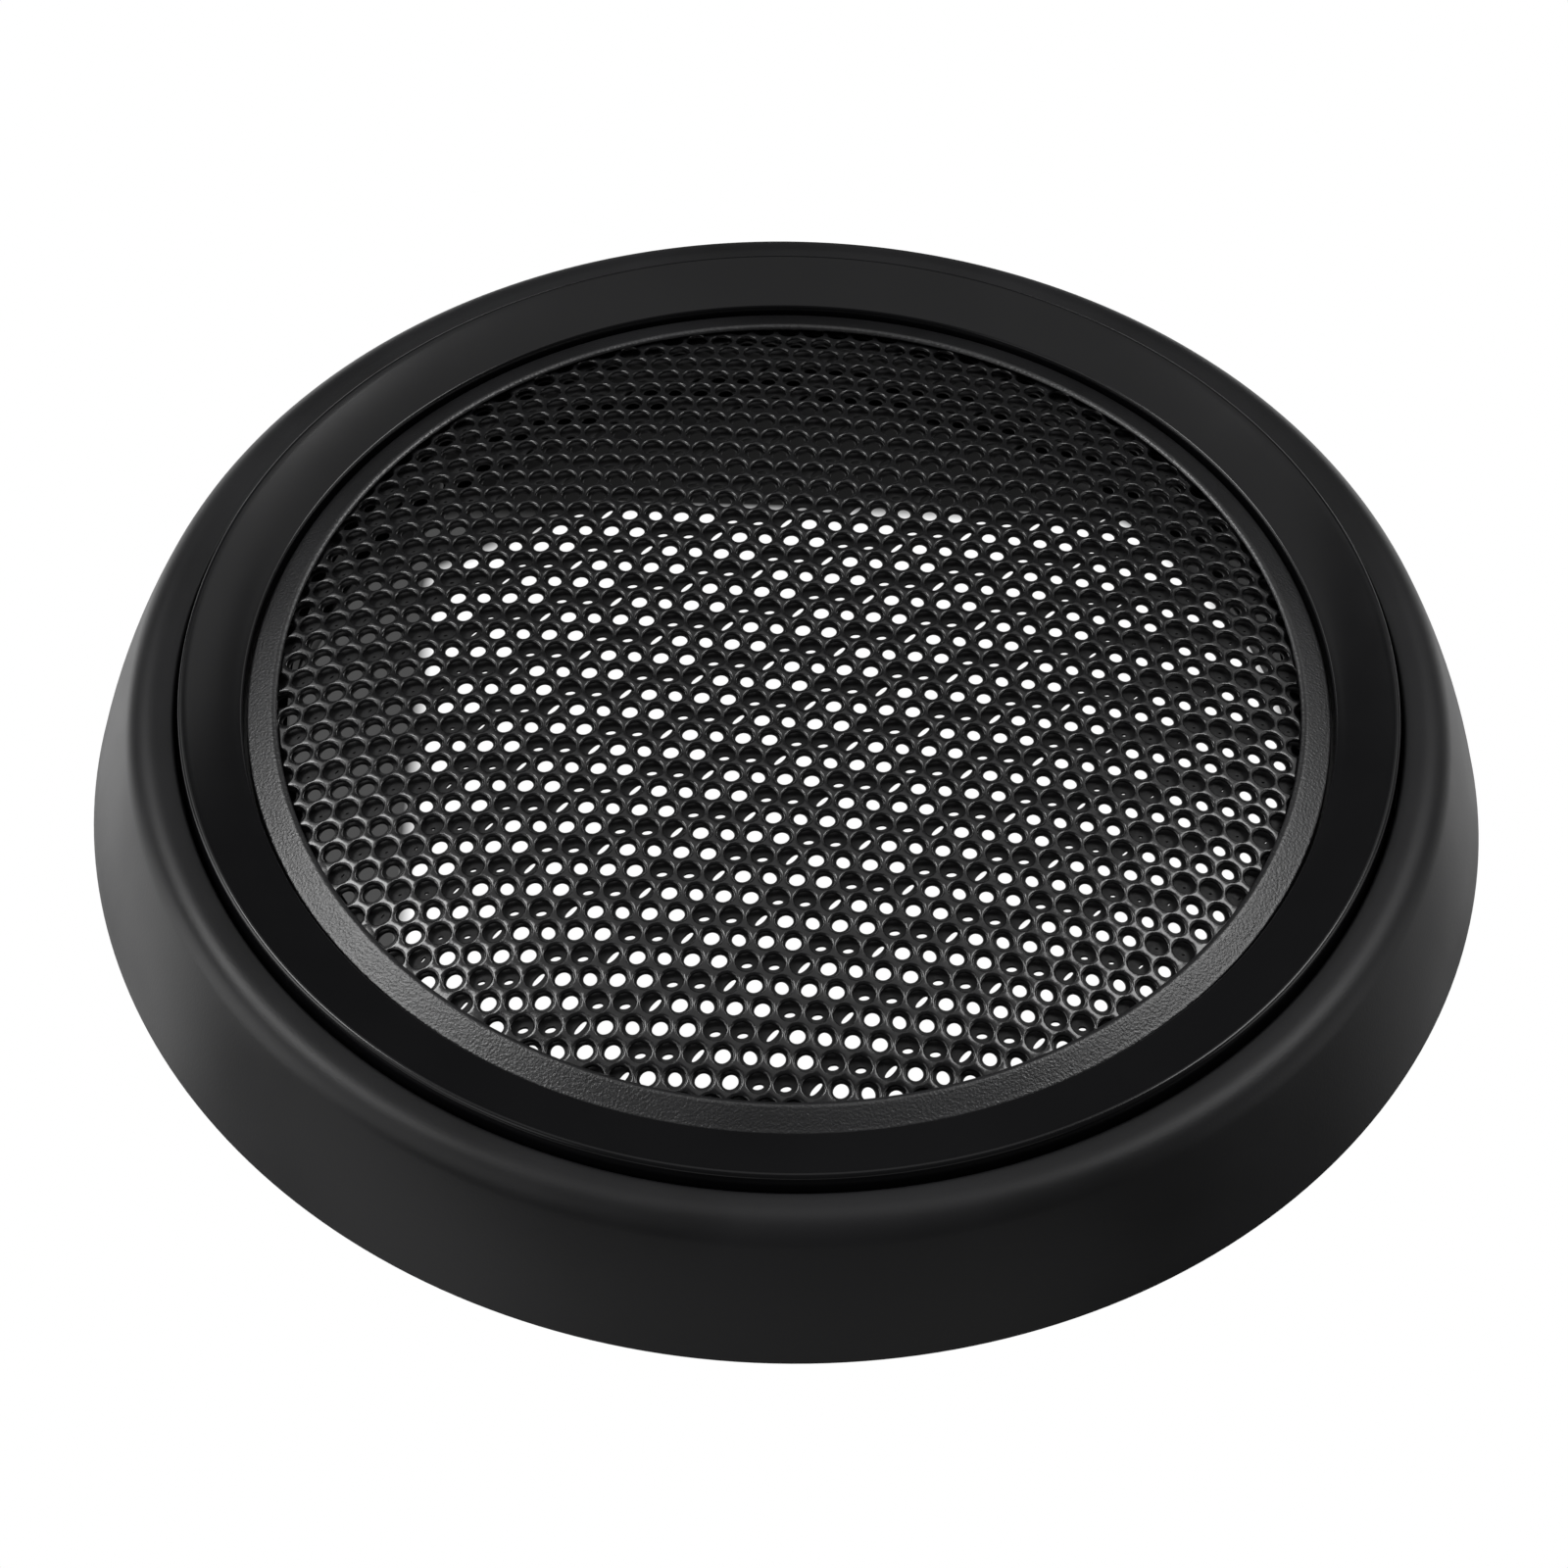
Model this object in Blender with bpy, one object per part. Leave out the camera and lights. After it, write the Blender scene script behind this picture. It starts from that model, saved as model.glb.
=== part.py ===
"""Round car speaker grille cover: flared trim ring with a lift-off domed grille.

Units in the tables below are millimetres; the scene is in metres, +Z up.
The origin is the centre of the base, on the plane that the cover rests on.
"""
import math

import bmesh
import bpy
from mathutils import Matrix, Vector
from mathutils.geometry import delaunay_2d_cdt

MM = 0.001
GAP = 0.3                  # clearance between pieces that touch on the real cover
PAST = 1.0                 # how far a cutting tool runs past the face it cuts
SIDES = 64                 # facets round every large ring

# Trim ring: flared skirt, rounded shoulder, cup for the grille, mounting flange
OUTER_RADIUS = 77.5
TRIM_HEIGHT = 16.6
SKIRT_LEAN = 0.2           # how fast the skirt draws in at its foot
SKIRT_BOW = 0.0082         # extra draw-in with height, per millimetre
SKIRT_TOP = 14.2
SHOULDER_RADIUS = 3.98
SHOULDER_START = 23.4      # degrees, where the shoulder leaves the skirt
SKIRT_WALL = 2.2
CUP_RADIUS = 67.5
CUP_WALL = 2.2
CUP_LIP = 0.6
CHANNEL_TOP = 14.2
FLANGE_THICK = 2.5
OPENING_RADIUS = 57.5
CATCH_LOW = 3.6            # shallow groove that the snap beads sit in
CATCH_HIGH = 6.6
CATCH_DEPTH = 0.4
RIB_COUNT = 16
RIB_THICK = 1.2
RIB_LOW = 1.5
RIB_HIGH = 13.0
RIB_BITE = 0.8             # how far a rib runs into the walls that it joins
MOUNT_COUNT = 4
MOUNT_START = 45.0
MOUNT_CIRCLE = 61.25       # radius of the circle of mounting holes
MOUNT_HOLE = 2.25
MOUNT_SIDES = 16

# Grille frame: the smooth ring round the grille, with a wall down into the cup
FRAME_RADIUS = 67.0
FRAME_WALL = 2.0
FRAME_FOOT = FLANGE_THICK + GAP
FRAME_CREST = 18.45
FRAME_EDGE = 0.55
FRAME_INNER = 60.0
FRAME_INNER_TOP = 16.75
FRAME_BAND_OUTER = 64.2    # thick band that the clamp screws bite into
FRAME_BAND_FOOT = 13.9
FRAME_PLATE_UNDER = 15.7
SNAP_COUNT = 6
SNAP_REACH = 67.15
SNAP_WIDTH = 6.0
SNAP_LOW = 4.2
SNAP_HIGH = 6.0
SLOT_WIDTH = 1.2
SLOT_OFFSET = 5.6
SLOT_TOP = 9.5

# Dome of the perforated sheets: height = apex - drop * (r / edge) ** power
DOME_APEX = 22.0
DOME_DROP = 5.6
DOME_POWER = 3.6
DOME_EDGE = 56.2
SHEET_RADIUS = 58.4
SHEET_THICK = 0.6
SHEET_SPACING = 0.4
HOLE_MARGIN = 55.4         # holes stay inside this radius
FRONT_PITCH = 8.7
FRONT_HOLE = 3.55
REAR_PITCH = 11.6
REAR_HOLE = 4.6
FRONT_TURN = -3.1          # degrees, rows of the front sheet
REAR_TURN = -24.9          # the rear sheet lies about 22 degrees further round
HOLE_SIDES = 6

# Bezel: grained ring over the edge of the sheets
BEZEL_INNER = 56.2
BEZEL_CREST = 17.05
BEZEL_OUTER = 59.6
BEZEL_OUTER_TOP = 15.85
BEZEL_EDGE = 0.3
BEZEL_SKIN = 0.7
BEZEL_FLANGE_LOW = 12.2
BEZEL_FLANGE_HIGH = 13.6
FLANGE_REACH = 64.0

# Clamp ring under the sheets and its screws
CLAMP_INNER = 55.2
CLAMP_LOW = 10.4
CLAMP_FLANGE_TOP = 11.9
CLAMP_SHOULDER = 58.5
CLAMP_CHAMFER = 1.2
SCREW_COUNT = 6
SCREW_START = 30.0         # degrees, half way between the snap fingers
SCREW_CIRCLE = 62.2
SCREW_SHAFT = 1.2
SCREW_HOLE = 1.5
SCREW_HOLE_TOP = 16.1
SCREW_TIP = 15.7
SCREW_HEAD = 2.3
SCREW_HEAD_HIGH = CLAMP_LOW - GAP
SCREW_HEAD_LOW = 9.0
SCREW_POINT = 0.4
SCREW_SIDES = 12
CROSS_LENGTH = 2.6
CROSS_WIDTH = 0.6
CROSS_DEPTH = 0.6


def clear_scene():
    for item in list(bpy.data.objects):
        bpy.data.objects.remove(item, do_unlink=True)


def material(name, colour, roughness, metallic=0.0):
    made = bpy.data.materials.new(name)
    made.use_nodes = True
    shader = made.node_tree.nodes["Principled BSDF"]
    shader.inputs["Base Color"].default_value = (*colour, 1.0)
    shader.inputs["Roughness"].default_value = roughness
    shader.inputs["Metallic"].default_value = metallic
    return made


def arc(centre, radius, start, end, steps):
    """Points of a circular arc, angles in degrees, both ends included."""
    points = []
    for step in range(steps + 1):
        angle = math.radians(start + (end - start) * step / steps)
        points.append((centre[0] + radius * math.cos(angle), centre[1] + radius * math.sin(angle)))
    return points


def spread(low, high, count):
    """Evenly spaced numbers from low to high, both included."""
    return [low + (high - low) * step / (count - 1) for step in range(count)]


def around(count, start=0.0):
    """Angles in radians of count places evenly round the axis."""
    return [math.radians(start + 360.0 * step / count) for step in range(count)]


def add_object(name, bm, finish=None):
    bmesh.ops.recalc_face_normals(bm, faces=bm.faces)
    mesh = bpy.data.meshes.new(name)
    bm.to_mesh(mesh)
    bm.free()
    made = bpy.data.objects.new(name, mesh)
    bpy.context.scene.collection.objects.link(made)
    if finish is not None:
        mesh.materials.append(finish)
        mesh.shade_smooth()
        mesh.set_sharp_from_angle(angle=math.radians(35.0))
    return made


def turned(name, outline, finish, sides=SIDES):
    """An outline of (radius, height) points turned about Z; it closes by itself or on the axis."""
    bm = bmesh.new()
    points = [bm.verts.new((r * MM, 0.0, z * MM)) for r, z in outline]
    edges = [bm.edges.new(pair) for pair in zip(points, points[1:])]
    if outline[0][0] > 0.0:
        edges.append(bm.edges.new((points[-1], points[0])))
    bmesh.ops.spin(bm, geom=points + edges, cent=(0, 0, 0), axis=(0, 0, 1),
                   angle=math.tau, steps=sides, use_merge=True)
    bmesh.ops.remove_doubles(bm, verts=bm.verts, dist=0.00001)
    return add_object(name, bm, finish)


def add_box(bm, angle, r_low, r_high, side, width, z_low, z_high):
    """A box at a place round the axis; side shifts it along the tangent."""
    out = Vector((math.cos(angle), math.sin(angle), 0.0))
    along = Vector((-math.sin(angle), math.cos(angle), 0.0))
    corners = []
    for z in (z_low, z_high):
        for r, t in ((r_low, -width / 2), (r_high, -width / 2), (r_high, width / 2), (r_low, width / 2)):
            place = out * r + along * (side + t)
            corners.append(bm.verts.new((place.x * MM, place.y * MM, z * MM)))
    low, high = corners[:4], corners[4:]
    bm.faces.new(low[::-1])
    bm.faces.new(high)
    for index in range(4):
        after = (index + 1) % 4
        bm.faces.new((low[index], low[after], high[after], high[index]))


def add_post(bm, angle, circle, radius, z_low, z_high, sides=SCREW_SIDES):
    """An upright round post, or a drill, at a place round the axis."""
    made = bmesh.ops.create_cone(bm, cap_ends=True, segments=sides, radius1=radius * MM,
                                 radius2=radius * MM, depth=(z_high - z_low) * MM)
    place = Vector((circle * math.cos(angle), circle * math.sin(angle), (z_low + z_high) / 2)) * MM
    bmesh.ops.translate(bm, verts=made["verts"], vec=place)


def combine(target, tool_mesh, operation, name):
    """Boolean modifier on the target, with a hidden wire object as its tool."""
    tool = add_object(name, tool_mesh)
    tool.hide_render = True
    tool.display_type = "WIRE"
    modifier = target.modifiers.new(name, "BOOLEAN")
    modifier.operation = operation
    modifier.object = tool


def skirt_radius(z):
    return OUTER_RADIUS - SKIRT_LEAN * z - SKIRT_BOW * z * z


def trim_outline():
    outline = [(skirt_radius(z), z) for z in spread(0.0, SKIRT_TOP, 6)[:-1]]
    turn = math.radians(SHOULDER_START)
    centre_r = skirt_radius(SKIRT_TOP) - SHOULDER_RADIUS * math.cos(turn)
    centre_z = TRIM_HEIGHT - SHOULDER_RADIUS
    outline += arc((centre_r, centre_z), SHOULDER_RADIUS, SHOULDER_START, 90.0, 5)
    outline += arc((CUP_RADIUS + CUP_LIP, TRIM_HEIGHT - CUP_LIP), CUP_LIP, 90.0, 180.0, 3)
    outline += [
        (CUP_RADIUS, CATCH_HIGH),
        (CUP_RADIUS + CATCH_DEPTH, CATCH_HIGH - CATCH_DEPTH),
        (CUP_RADIUS + CATCH_DEPTH, CATCH_LOW + CATCH_DEPTH),
        (CUP_RADIUS, CATCH_LOW),
        (CUP_RADIUS, FLANGE_THICK),
        (OPENING_RADIUS, FLANGE_THICK),
        (OPENING_RADIUS, 0.0),
        (CUP_RADIUS + CUP_WALL, 0.0),
        (CUP_RADIUS + CUP_WALL, CHANNEL_TOP),
        (skirt_radius(CHANNEL_TOP) - SKIRT_WALL, CHANNEL_TOP),
    ]
    outline += [(skirt_radius(z) - SKIRT_WALL, z) for z in spread(CHANNEL_TOP, 0.0, 5)[1:]]
    return outline


def make_trim_ring(finish):
    ring = turned("trim_ring", trim_outline(), finish)
    ribs = bmesh.new()
    cup_outside = CUP_RADIUS + CUP_WALL
    for angle in around(RIB_COUNT, 180.0 / RIB_COUNT):
        add_box(ribs, angle, cup_outside - RIB_BITE, skirt_radius(RIB_HIGH) - RIB_BITE, 0.0,
                RIB_THICK, RIB_LOW, RIB_HIGH)
    combine(ring, ribs, "UNION", "channel_ribs")
    drills = bmesh.new()
    for angle in around(MOUNT_COUNT, MOUNT_START):
        add_post(drills, angle, MOUNT_CIRCLE, MOUNT_HOLE, -PAST, FLANGE_THICK + PAST, MOUNT_SIDES)
    combine(ring, drills, "DIFFERENCE", "mounting_drills")
    return ring


def frame_outline():
    crest_r = FRAME_RADIUS - FRAME_EDGE
    outline = arc((crest_r, FRAME_CREST - FRAME_EDGE), FRAME_EDGE, 0.0, 90.0, 3)
    outline += arc((FRAME_INNER + FRAME_EDGE, FRAME_INNER_TOP - FRAME_EDGE), FRAME_EDGE, 90.0, 180.0, 3)
    outline += [
        (FRAME_INNER, FRAME_BAND_FOOT),
        (FRAME_BAND_OUTER, FRAME_BAND_FOOT),
        (FRAME_BAND_OUTER, FRAME_PLATE_UNDER),
        (FRAME_RADIUS - FRAME_WALL, FRAME_PLATE_UNDER),
        (FRAME_RADIUS - FRAME_WALL, FRAME_FOOT),
        (FRAME_RADIUS, FRAME_FOOT),
    ]
    return outline


def make_grille_frame(finish):
    frame = turned("grille_frame", frame_outline(), finish)
    beads = bmesh.new()
    slots = bmesh.new()
    for angle in around(SNAP_COUNT):
        add_box(beads, angle, FRAME_RADIUS - PAST, SNAP_REACH, 0.0, SNAP_WIDTH, SNAP_LOW, SNAP_HIGH)
        for side in (-SLOT_OFFSET, SLOT_OFFSET):
            add_box(slots, angle, FRAME_RADIUS - FRAME_WALL - PAST, FRAME_RADIUS + PAST, side,
                    SLOT_WIDTH, FRAME_FOOT - PAST, SLOT_TOP)
    combine(frame, beads, "UNION", "snap_beads")
    combine(frame, slots, "DIFFERENCE", "finger_slots")
    combine(frame, screw_drills(), "DIFFERENCE", "frame_drills")
    return frame


def screw_drills():
    """Holes for the clamp screws, from under the clamp ring up into the frame."""
    drills = bmesh.new()
    for angle in around(SCREW_COUNT, SCREW_START):
        add_post(drills, angle, SCREW_CIRCLE, SCREW_HOLE, CLAMP_LOW - PAST, SCREW_HOLE_TOP)
    return drills


def dome_height(r):
    return DOME_APEX - DOME_DROP * (r / DOME_EDGE) ** DOME_POWER


def under_dome(r, depth):
    """Height of a surface that lies depth under the dome, measured square to it."""
    slope = DOME_DROP * DOME_POWER / DOME_EDGE * (r / DOME_EDGE) ** (DOME_POWER - 1)
    return dome_height(r) - depth * math.hypot(1.0, slope)


def bezel_outline():
    inside = BEZEL_OUTER - BEZEL_SKIN
    outline = arc((BEZEL_INNER + BEZEL_EDGE, BEZEL_CREST - BEZEL_EDGE), BEZEL_EDGE, 180.0, 90.0, 2)
    outline += arc((BEZEL_OUTER - BEZEL_EDGE, BEZEL_OUTER_TOP - BEZEL_EDGE), BEZEL_EDGE, 90.0, 0.0, 2)
    outline += [
        (BEZEL_OUTER, BEZEL_FLANGE_HIGH),
        (FLANGE_REACH, BEZEL_FLANGE_HIGH),
        (FLANGE_REACH, BEZEL_FLANGE_LOW),
        (inside, BEZEL_FLANGE_LOW),
    ]
    for r in spread(inside, BEZEL_INNER, 3):
        outline.append((r, under_dome(r, -GAP)))
    return outline


def make_mesh_bezel(finish):
    bezel = turned("mesh_bezel", bezel_outline(), finish)
    combine(bezel, screw_drills(), "DIFFERENCE", "bezel_drills")
    return bezel


def clamp_outline():
    stack = 2 * SHEET_THICK + SHEET_SPACING + GAP
    return [
        (CLAMP_INNER, under_dome(CLAMP_INNER, stack)),
        (CLAMP_SHOULDER, under_dome(CLAMP_SHOULDER, stack)),
        (CLAMP_SHOULDER, CLAMP_FLANGE_TOP),
        (FLANGE_REACH, CLAMP_FLANGE_TOP),
        (FLANGE_REACH, CLAMP_LOW),
        (CLAMP_INNER + CLAMP_CHAMFER, CLAMP_LOW),
        (CLAMP_INNER, CLAMP_LOW + CLAMP_CHAMFER),
    ]


def make_clamp_ring(finish):
    ring = turned("clamp_ring", clamp_outline(), finish)
    combine(ring, screw_drills(), "DIFFERENCE", "clamp_drills")
    return ring


def staggered_centres(pitch, turn, limit):
    """Centres of the holes: staggered rows at the pitch, turned about the axis."""
    reach = int(2 * limit / pitch) + 1
    rotation = Matrix.Rotation(math.radians(turn), 2)
    centres = []
    for row in range(-reach, reach + 1):
        for column in range(-reach, reach + 1):
            place = rotation @ Vector(((column + row / 2) * pitch, row * pitch * math.sqrt(0.75)))
            if place.length <= limit:
                centres.append(place)
    return centres


def circle_2d(centre, radius, sides, turn):
    return [Vector(centre) + Vector((radius * math.cos(angle), radius * math.sin(angle)))
            for angle in around(sides, turn)]


def perforated_dome(name, depth, pitch, hole, turn, finish):
    """A domed sheet with staggered six-sided holes; depth is its top under the dome."""
    centres = staggered_centres(pitch, turn, HOLE_MARGIN - hole)
    loops = [circle_2d((0.0, 0.0), SHEET_RADIUS, SIDES, 0.0)]
    loops.append(circle_2d((0.0, 0.0), BEZEL_INNER, SIDES // 2, 0.0))
    corner = turn + 180.0 / HOLE_SIDES
    loops += [circle_2d(centre, hole, HOLE_SIDES, corner) for centre in centres]
    points, edges = [], []
    for loop in loops:
        first = len(points)
        points += loop
        edges += [(first + i, first + (i + 1) % len(loop)) for i in range(len(loop))]
    flat, _, faces, _, _, _ = delaunay_2d_cdt(points, edges, [], 0, 0.0001)
    kept = [face for face in faces if not in_a_hole(flat, face, centres, hole)]
    bm = bmesh.new()
    top = [bm.verts.new(dome_point(p, depth)) for p in flat]
    low = [bm.verts.new(dome_point(p, depth + SHEET_THICK)) for p in flat]
    for face in kept:
        bm.faces.new([top[i] for i in face])
        bm.faces.new([low[i] for i in reversed(face)])
    close_walls(bm, top, low, kept)
    return add_object(name, bm, finish)


def in_a_hole(flat, face, centres, hole):
    """True for a triangle inside a hole: its middle is nearer the centre than the hole's sides."""
    middle = sum((flat[i] for i in face), Vector((0.0, 0.0))) / len(face)
    side = hole * math.cos(math.pi / HOLE_SIDES)
    return any((middle - centre).length < 0.95 * side for centre in centres)


def dome_point(flat, depth):
    r = flat.length
    return Vector((flat.x, flat.y, under_dome(r, depth))) * MM


def close_walls(bm, top, low, kept):
    """Join the top and the underside along the rim and round every hole."""
    uses = {}
    for face in kept:
        for a, b in zip(face, face[1:] + face[:1]):
            uses.setdefault(frozenset((a, b)), []).append((a, b))
    for found in uses.values():
        if len(found) == 1:
            a, b = found[0]
            bm.faces.new((top[b], top[a], low[a], low[b]))


def screw_outline():
    """Half section of a pan-head screw with its head below, from tip to head."""
    return [
        (0.0, SCREW_TIP),
        (SCREW_SHAFT - SCREW_POINT, SCREW_TIP),
        (SCREW_SHAFT, SCREW_TIP - SCREW_POINT),
        (SCREW_SHAFT, SCREW_HEAD_HIGH),
        (SCREW_HEAD, SCREW_HEAD_HIGH),
        (SCREW_HEAD, SCREW_HEAD_LOW + SCREW_POINT),
        (SCREW_HEAD - SCREW_POINT, SCREW_HEAD_LOW),
        (0.0, SCREW_HEAD_LOW),
    ]


def cross_prism():
    """Upright prism with a plus-shaped section, for the recess in the screw's head."""
    tip, side = CROSS_LENGTH / 2, CROSS_WIDTH / 2
    arm = [(side, side), (side, tip), (-side, tip)]
    bm = bmesh.new()
    points = []
    for quarter in around(4):
        turn = Matrix.Rotation(quarter, 2)
        for point in arm:
            flat = turn @ Vector(point)
            points.append(bm.verts.new((flat.x * MM, flat.y * MM, (SCREW_HEAD_LOW - PAST) * MM)))
    face = bm.faces.new(points)
    grown = bmesh.ops.extrude_face_region(bm, geom=[face])["geom"]
    upper = [item for item in grown if isinstance(item, bmesh.types.BMVert)]
    bmesh.ops.translate(bm, verts=upper, vec=(0.0, 0.0, (CROSS_DEPTH + PAST) * MM))
    return bm


def screw_mesh(finish):
    """One screw standing on the axis, with its cross recess cut."""
    pattern = turned("screw_pattern", screw_outline(), finish, SCREW_SIDES)
    combine(pattern, cross_prism(), "DIFFERENCE", "screw_cross")
    bpy.context.view_layer.update()
    graph = bpy.context.evaluated_depsgraph_get()
    mesh = bpy.data.meshes.new_from_object(pattern.evaluated_get(graph))
    bpy.data.objects.remove(pattern, do_unlink=True)
    return mesh


def make_screws(finish):
    mesh = screw_mesh(finish)
    for number, angle in enumerate(around(SCREW_COUNT, SCREW_START), start=1):
        screw = bpy.data.objects.new(f"clamp_screw_{number}", mesh)
        bpy.context.scene.collection.objects.link(screw)
        screw.location = Vector((math.cos(angle), math.sin(angle), 0.0)) * SCREW_CIRCLE * MM
        screw.rotation_euler = (0.0, 0.0, angle)


def parent_grille():
    """Hang the pieces that lift off together on one empty on the lifting axis."""
    lift = bpy.data.objects.new("grille_lift", None)
    bpy.context.scene.collection.objects.link(lift)
    for item in bpy.data.objects:
        if item.type == "MESH" and item.name != "trim_ring":
            item.parent = lift


def main():
    clear_scene()
    trim = material("trim_plastic", (0.022, 0.022, 0.023), 0.5)
    frame = material("frame_plastic", (0.012, 0.012, 0.014), 0.35)
    bezel = material("bezel_plastic", (0.03, 0.03, 0.031), 0.6)
    steel = material("coated_steel", (0.015, 0.015, 0.016), 0.4)
    backing = material("backing_plastic", (0.02, 0.02, 0.02), 0.6)
    zinc = material("black_zinc", (0.05, 0.05, 0.05), 0.35, 0.9)
    make_trim_ring(trim)
    make_grille_frame(frame)
    make_mesh_bezel(bezel)
    perforated_dome("front_mesh", 0.0, FRONT_PITCH, FRONT_HOLE, FRONT_TURN, steel)
    rear_depth = SHEET_THICK + SHEET_SPACING
    perforated_dome("rear_mesh", rear_depth, REAR_PITCH, REAR_HOLE, REAR_TURN, steel)
    make_clamp_ring(backing)
    make_screws(zinc)
    parent_grille()


if __name__ == "__main__":
    main()
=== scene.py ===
import math

import bmesh
import bpy
from mathutils import Matrix, Vector
from mathutils.geometry import delaunay_2d_cdt


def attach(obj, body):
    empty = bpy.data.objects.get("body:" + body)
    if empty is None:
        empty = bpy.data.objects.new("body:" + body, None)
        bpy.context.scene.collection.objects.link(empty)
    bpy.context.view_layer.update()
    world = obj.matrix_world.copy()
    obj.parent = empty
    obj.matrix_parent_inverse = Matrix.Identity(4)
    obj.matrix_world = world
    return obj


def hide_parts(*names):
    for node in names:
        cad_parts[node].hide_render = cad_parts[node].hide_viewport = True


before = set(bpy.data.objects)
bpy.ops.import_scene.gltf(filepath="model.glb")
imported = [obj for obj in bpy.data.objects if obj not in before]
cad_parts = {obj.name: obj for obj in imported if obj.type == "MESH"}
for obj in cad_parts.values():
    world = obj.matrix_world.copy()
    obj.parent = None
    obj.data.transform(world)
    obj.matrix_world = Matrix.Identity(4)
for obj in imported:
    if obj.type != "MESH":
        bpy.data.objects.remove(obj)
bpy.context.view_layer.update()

MM = 0.001
GAP = 0.3                  # clearance between pieces that touch on the real cover
PAST = 1.0                 # how far a cutting tool runs past the face it cuts
SIDES = 256                # facets round every large ring
SAME_PLACE = 0.004         # points of a turned ring closer than this are merged
SHARP_ANGLE = 30.0         # degrees between two faces from which their edge is shown sharp

# Trim ring
OUTER_RADIUS = 77.5
TRIM_HEIGHT = 16.6
SKIRT_LEAN = 0.2           # inward per millimetre of height
SKIRT_BOW = 0.0082         # and this much more per millimetre squared
SKIRT_START = 0.6          # the skirt's curve runs up from here
SKIRT_TOP = 14.2           # to here
SKIRT_WALL = 2.2
SHOULDER_RADIUS = 3.98
SHOULDER_START = 23.4      # degrees above level, where the skirt turns into the shoulder
FOOT_ROUND = 0.35
FOOT_INSET = 0.03
FOOT_END = -8.0            # degrees, where the foot's rounding meets the skirt
CUP_RADIUS = 67.5          # well that the grille drops into
CUP_WALL = 2.2
CUP_LIP = 0.4
CHANNEL_TOP = 14.2         # hollow between the well's wall and the skirt, open below
CHANNEL_ROUND = 1.0
CHANNEL_END = 10.0         # degrees, where the channel's rounding meets the skirt's inside
CHANNEL_DROP = 1.6         # the skirt's inside starts this far under the channel's top
FLANGE_THICK = 2.5         # flange under the grille, which rests on the panel
FLANGE_EDGE = 0.4
OPENING_RADIUS = 57.5
CATCH_LOW = 3.6            # groove in the well's wall for the snap beads
CATCH_HIGH = 6.6
CATCH_DEPTH = 0.4
RIB_COUNT = 16             # ribs across the channel
RIB_THICK = 1.2
RIB_LOW = 1.5
RIB_HIGH = 13.0
RIB_BITE = 0.8             # how far a rib runs into the well's wall
MOUNT_COUNT = 4            # screw holes in the flange
MOUNT_START = 45.0         # degrees round to the first one
MOUNT_CIRCLE = 61.25
MOUNT_HOLE = 2.25          # its radius
MOUNT_SIDES = 32

# Grille frame
FRAME_RADIUS = 67.0
FRAME_WALL = 2.0
FRAME_FOOT = FLANGE_THICK + GAP
FRAME_CREST = 18.45
FRAME_EDGE = 0.5
FRAME_INNER_EDGE = 0.34
FRAME_INNER = 60.0
FRAME_INNER_TOP = 16.75
FRAME_CURVE = 1.2          # how much the face hollows toward its inner edge
FRAME_INNER_SLOPE = 0.7    # the inner edge's rounding starts at this share of the mean slope
FRAME_CHAMFER = 0.2
FRAME_CORNER = 0.4
FRAME_LEAD_IN = 0.5        # chamfer at the foot, toward the well's wall
FRAME_BAND_OUTER = 64.2    # band round the bezel, under the face's inner part
FRAME_BAND_FOOT = 13.9
FRAME_PLATE_UNDER = 15.7   # underside of the face, outside the band
SNAP_COUNT = 6             # beads on the wall, each between two slots
SNAP_REACH = 67.15
SNAP_WIDTH = 6.0
SNAP_LOW = 4.2
SNAP_HIGH = 6.0
SLOT_WIDTH = 1.2
SLOT_OFFSET = 5.6          # from the middle of the bead
SLOT_TOP = 9.5

# Dome of the perforated sheets: height = apex - drop * (r / edge) ** power
DOME_APEX = 22.0
DOME_DROP = 5.6
DOME_POWER = 3.6
DOME_EDGE = 56.2
SHEET_RADIUS = 58.4
SHEET_SIDES = 192
SHEET_BORDER = 1.0         # the web has no points of its own this near the sheet's rim
SHEET_SHARP = 40.0         # SHARP_ANGLE for the sheets
SAME_POINT = 0.00001       # points of the web closer than this are one
HOLE_LIMIT = 57.2          # hole centres stay inside this radius
ROW_STEP = Vector((2.873, -0.155))      # along a row of holes
NEXT_ROW = Vector((0.884, -2.737))      # to the next row
FIRST_HOLE = Vector((1.05, -3.0))
LATTICE_REACH = 30         # rows and columns each way that can lie inside the limit
KINDS = 7                  # the rear openings repeat after this many holes along a row
KIND_SHIFT = 3             # and move on by this many from one row to the next
FRONT_THICK = 0.35
FRONT_HOLE = 1.16          # radius of a hole at its narrowest
FRONT_RIM = 0.26           # rounded edge round each hole, on the outside
FRONT_RIM_STEPS = 3
FRONT_SIDES = 16
REAR_DEPTH = 1.0           # the rear sheet's top lies this far under the dome
REAR_THICK = 0.25
REAR_RIM = 0.05
REAR_RIM_STEPS = 1
REAR_SHIFT = Vector((0.0, 0.5))         # the rear openings lie a little further from the camera
SLITS = {                  # nearly closed openings by kind: shift, half width, half height, degrees
    1: ((0.03, -0.36), 0.62, 0.34, 12.0),
    2: ((0.03, -0.36), 0.62, 0.34, 12.0),
    3: ((0.3, -0.1), 0.95, 0.34, 50.0),
}
SLIT_SIDES = 16
SLIT_FADE = (26.0, 40.0)   # they shrink between these distances to the left or right of the middle
SLIT_LEAST = 0.3
TALL_KIND = 5
TALL_OPENING = (0.76, 0.85, 20.0)       # half width, half height, degrees
WIDE_OPENING = (0.92, 0.83, 40.0)       # the same for kinds 0, 4 and 6
OPEN_SIDES = 20
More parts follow.
